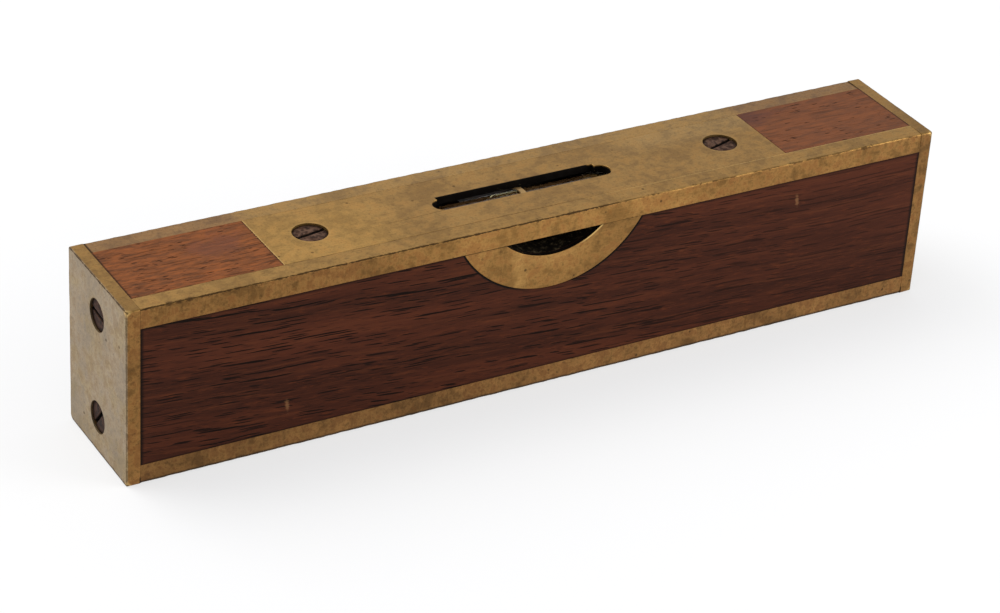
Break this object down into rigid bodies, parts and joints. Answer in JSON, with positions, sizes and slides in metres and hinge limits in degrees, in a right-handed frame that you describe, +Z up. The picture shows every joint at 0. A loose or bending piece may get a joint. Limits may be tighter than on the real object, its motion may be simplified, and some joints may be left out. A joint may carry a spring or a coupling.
{
  "type": "machinist level",
  "caption": "Brass-bound rosewood machinist level: wooden stock with brass edges and end plates, a slotted top plate and half-moon sights over an adjustable bubble vial.",
  "frame": {"origin": "middle of the sole, the flat underside that the level rests on", "axes": "+X along the level to the viewer's right, +Y away from the viewer, +Z up out of the top plate"},
  "size_m": [0.2032, 0.0302, 0.0428],
  "materials": {
    "rosewood": "worn oiled rosewood, dark grain along the length",
    "binding_brass": "aged satin brass, brown patina, fine scratches",
    "end_brass": "aged satin brass, greyer patina",
    "dark_steel": "dark brown steel",
    "bright_steel": "drawn steel",
    "japanned_steel": "black japanning",
    "plaster": "matt, aged",
    "vial_glass": "clear",
    "spirit": "clear, faintly yellow",
    "air": "clear"
  },
  "bodies": {
    "level_body": {"stock": "rosewood", "binding_top_front": "binding_brass", "binding_top_back": "binding_brass", "binding_bottom_front": "binding_brass", "binding_bottom_back": "binding_brass", "top_plate": "binding_brass", "index_bar": "binding_brass", "sight_plate_front": "binding_brass", "sight_plate_back": "binding_brass", "hinge_bracket": "binding_brass", "screw_hanger": "binding_brass", "end_plate_left": "end_brass", "end_plate_right": "end_brass", "end_screws_left": "dark_steel", "end_screws_right": "dark_steel", "top_plate_screws": "dark_steel", "pivot_pin": "bright_steel", "adjusting_spring": "bright_steel"},
    "adjuster": {"adjusting_screw": "bright_steel", "screw_collar": "binding_brass"},
    "vial_unit": {"vial_cradle": "japanned_steel", "plaster_left": "plaster", "plaster_right": "plaster", "vial_glass": "vial_glass", "spirit": "spirit"},
    "bubble": {"bubble": "air"}
  },
  "joints": [
    {"name": "adjusting_screw_turn", "type": "hinge", "parent": "level_body", "child": "adjuster", "pos_m": [0.033, 0, 0.03], "axis": [0, 0, 1], "range_deg": [-300, 300]},
    {"name": "vial_tilt", "type": "hinge", "parent": "level_body", "child": "vial_unit", "pos_m": [-0.033, 0, 0.0356], "axis": [0, 1, 0], "range_deg": [-0.386, 0.386], "deforming": ["adjusting_spring"]},
    {"name": "bubble_travel", "type": "slide", "parent": "vial_unit", "child": "bubble", "axis": [1, 0, 0], "range_m": [-0.0095, 0.0095], "stiffness_N_per_m": 0.6}
  ],
  "couplings": [
    {"joint": "adjusting_screw_turn", "follows": "vial_tilt", "ratio": 653.06}
  ]
}
